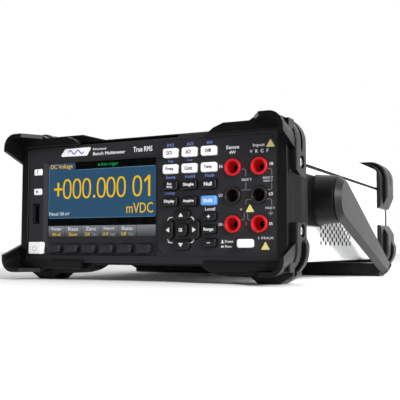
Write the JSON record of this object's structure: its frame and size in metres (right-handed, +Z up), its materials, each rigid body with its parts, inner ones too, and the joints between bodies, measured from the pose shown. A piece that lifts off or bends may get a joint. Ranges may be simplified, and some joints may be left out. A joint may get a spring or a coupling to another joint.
{
  "type": "bench multimeter",
  "caption": "Half-rack bench multimeter with colour display, keypad, front and rear input jacks, rubber bumpers and a swivelling bail handle.",
  "frame": {"origin": "centre of the footprint, on the surface that the feet stand on", "axes": "+X to the right of someone facing the panel, +Y from the front panel to the rear panel, +Z up"},
  "size_m": [0.2584, 0.322, 0.113],
  "materials": {
    "case_paint": "semi-gloss fine powder coat",
    "bezel": "fine-textured moulded plastic",
    "rubber": "satin moulded elastomer",
    "handle": "satin moulded plastic",
    "white_key": "satin moulded key cap",
    "black_key": "satin moulded key cap",
    "blue_key": "satin moulded key cap",
    "soft_key": "satin moulded key cap",
    "red_jack": "moulded insulating plastic",
    "black_jack": "moulded insulating plastic",
    "lens": "clear polycarbonate window",
    "lcd": "lit colour display",
    "steel": "plated sheet steel",
    "board": "circuit board laminate",
    "core": "varnished laminations",
    "inlet": "moulded black plastic"
  },
  "bodies": {
    "instrument": {"top_cover": "case_paint", "bottom_case": "case_paint", "rear_panel": "steel", "rear_port_block": "steel", "usb_socket": "steel", "bumper_screw_left_upper": "steel", "bumper_screw_left_lower": "steel", "bumper_screw_right_upper": "steel", "bumper_screw_right_lower": "steel", "power_inlet": "inlet", "rear_terminal_block": "black_jack", "front_bezel": "bezel", "display_window": "lens", "display_module": "lcd", "jack_sense_top": "red_jack", "jack_sense_middle": "black_jack", "jack_sense_bottom": "red_jack", "jack_input_top": "red_jack", "jack_input_middle": "black_jack", "jack_input_bottom": "red_jack", "front_bumper": "rubber", "rear_bumper": "rubber", "hub_left": "handle", "hub_right": "handle", "front_board": "board", "main_board": "board", "transformer": "core"},
    "handle": {"handle_arm_left": "handle", "handle_arm_right": "handle", "handle_grip": "handle"},
    "dc_volts_key": {"dc_volts_key": "white_key"},
    "ac_volts_key": {"ac_volts_key": "white_key"},
    "ohms_key": {"ohms_key": "white_key"},
    "frequency_key": {"frequency_key": "white_key"},
    "continuity_key": {"continuity_key": "white_key"},
    "temperature_key": {"temperature_key": "white_key"},
    "help_key": {"help_key": "white_key"},
    "screenshot_key": {"screenshot_key": "white_key"},
    "power_button": {"power_button": "white_key"},
    "input_selector": {"input_selector": "white_key"},
    "run_stop_key": {"run_stop_key": "black_key"},
    "single_key": {"single_key": "black_key"},
    "null_key": {"null_key": "black_key"},
    "display_key": {"display_key": "black_key"},
    "acquire_key": {"acquire_key": "black_key"},
    "nav_up_key": {"nav_up_key": "black_key"},
    "nav_down_key": {"nav_down_key": "black_key"},
    "nav_left_key": {"nav_left_key": "black_key"},
    "nav_right_key": {"nav_right_key": "black_key"},
    "nav_ok_key": {"nav_ok_key": "black_key"},
    "range_up_key": {"range_up_key": "black_key"},
    "range_auto_key": {"range_auto_key": "black_key"},
    "range_down_key": {"range_down_key": "black_key"},
    "shift_key": {"shift_key": "blue_key"},
    "softkey_1": {"softkey_1": "soft_key"},
    "softkey_2": {"softkey_2": "soft_key"},
    "softkey_3": {"softkey_3": "soft_key"},
    "softkey_4": {"softkey_4": "soft_key"},
    "softkey_5": {"softkey_5": "soft_key"},
    "softkey_6": {"softkey_6": "soft_key"}
  },
  "joints": [
    {"name": "handle_swing", "type": "hinge", "parent": "instrument", "child": "handle", "pos_m": [0, -0.073, 0.0595], "axis": [-1, 0, 0], "range_deg": [0, 248]},
    {"name": "dc_volts_press", "type": "slide", "parent": "instrument", "child": "dc_volts_key", "axis": [0, 1, 0], "range_m": [0, 0.0012], "stiffness_N_per_m": 900},
    {"name": "ac_volts_press", "type": "slide", "parent": "instrument", "child": "ac_volts_key", "axis": [0, 1, 0], "range_m": [0, 0.0012], "stiffness_N_per_m": 900},
    {"name": "ohms_press", "type": "slide", "parent": "instrument", "child": "ohms_key", "axis": [0, 1, 0], "range_m": [0, 0.0012], "stiffness_N_per_m": 900},
    {"name": "frequency_press", "type": "slide", "parent": "instrument", "child": "frequency_key", "axis": [0, 1, 0], "range_m": [0, 0.0012], "stiffness_N_per_m": 900},
    {"name": "continuity_press", "type": "slide", "parent": "instrument", "child": "continuity_key", "axis": [0, 1, 0], "range_m": [0, 0.0012], "stiffness_N_per_m": 900},
    {"name": "temperature_press", "type": "slide", "parent": "instrument", "child": "temperature_key", "axis": [0, 1, 0], "range_m": [0, 0.0012], "stiffness_N_per_m": 900},
    {"name": "help_press", "type": "slide", "parent": "instrument", "child": "help_key", "axis": [0, 1, 0], "range_m": [0, 0.0012], "stiffness_N_per_m": 900},
    {"name": "screenshot_press", "type": "slide", "parent": "instrument", "child": "screenshot_key", "axis": [0, 1, 0], "range_m": [0, 0.0012], "stiffness_N_per_m": 900},
    {"name": "power_press", "type": "slide", "parent": "instrument", "child": "power_button", "axis": [0, 1, 0], "range_m": [0, 0.002], "stiffness_N_per_m": 700},
    {"name": "input_selector_press", "type": "slide", "parent": "instrument", "child": "input_selector", "axis": [0, 1, 0], "range_m": [0, 0.004], "stiffness_N_per_m": 600},
    {"name": "run_stop_press", "type": "slide", "parent": "instrument", "child": "run_stop_key", "axis": [0, 1, 0], "range_m": [0, 0.0012], "stiffness_N_per_m": 900},
    {"name": "single_press", "type": "slide", "parent": "instrument", "child": "single_key", "axis": [0, 1, 0], "range_m": [0, 0.0012], "stiffness_N_per_m": 900},
    {"name": "null_press", "type": "slide", "parent": "instrument", "child": "null_key", "axis": [0, 1, 0], "range_m": [0, 0.0012], "stiffness_N_per_m": 900},
    {"name": "display_press", "type": "slide", "parent": "instrument", "child": "display_key", "axis": [0, 1, 0], "range_m": [0, 0.0012], "stiffness_N_per_m": 900},
    {"name": "acquire_press", "type": "slide", "parent": "instrument", "child": "acquire_key", "axis": [0, 1, 0], "range_m": [0, 0.0012], "stiffness_N_per_m": 900},
    {"name": "nav_up_press", "type": "slide", "parent": "instrument", "child": "nav_up_key", "axis": [0, 1, 0], "range_m": [0, 0.0012], "stiffness_N_per_m": 900},
    {"name": "nav_down_press", "type": "slide", "parent": "instrument", "child": "nav_down_key", "axis": [0, 1, 0], "range_m": [0, 0.0012], "stiffness_N_per_m": 900},
    {"name": "nav_left_press", "type": "slide", "parent": "instrument", "child": "nav_left_key", "axis": [0, 1, 0], "range_m": [0, 0.0012], "stiffness_N_per_m": 900},
    {"name": "nav_right_press", "type": "slide", "parent": "instrument", "child": "nav_right_key", "axis": [0, 1, 0], "range_m": [0, 0.0012], "stiffness_N_per_m": 900},
    {"name": "nav_ok_press", "type": "slide", "parent": "instrument", "child": "nav_ok_key", "axis": [0, 1, 0], "range_m": [0, 0.0012], "stiffness_N_per_m": 900},
    {"name": "range_up_press", "type": "slide", "parent": "instrument", "child": "range_up_key", "axis": [0, 1, 0], "range_m": [0, 0.0012], "stiffness_N_per_m": 900},
    {"name": "range_auto_press", "type": "slide", "parent": "instrument", "child": "range_auto_key", "axis": [0, 1, 0], "range_m": [0, 0.0012], "stiffness_N_per_m": 900},
    {"name": "range_down_press", "type": "slide", "parent": "instrument", "child": "range_down_key", "axis": [0, 1, 0], "range_m": [0, 0.0012], "stiffness_N_per_m": 900},
    {"name": "shift_press", "type": "slide", "parent": "instrument", "child": "shift_key", "axis": [0, 1, 0], "range_m": [0, 0.0012], "stiffness_N_per_m": 900},
    {"name": "softkey_1_press", "type": "slide", "parent": "instrument", "child": "softkey_1", "axis": [0, 1, 0], "range_m": [0, 0.0012], "stiffness_N_per_m": 900},
    {"name": "softkey_2_press", "type": "slide", "parent": "instrument", "child": "softkey_2", "axis": [0, 1, 0], "range_m": [0, 0.0012], "stiffness_N_per_m": 900},
    {"name": "softkey_3_press", "type": "slide", "parent": "instrument", "child": "softkey_3", "axis": [0, 1, 0], "range_m": [0, 0.0012], "stiffness_N_per_m": 900},
    {"name": "softkey_4_press", "type": "slide", "parent": "instrument", "child": "softkey_4", "axis": [0, 1, 0], "range_m": [0, 0.0012], "stiffness_N_per_m": 900},
    {"name": "softkey_5_press", "type": "slide", "parent": "instrument", "child": "softkey_5", "axis": [0, 1, 0], "range_m": [0, 0.0012], "stiffness_N_per_m": 900},
    {"name": "softkey_6_press", "type": "slide", "parent": "instrument", "child": "softkey_6", "axis": [0, 1, 0], "range_m": [0, 0.0012], "stiffness_N_per_m": 900}
  ]
}
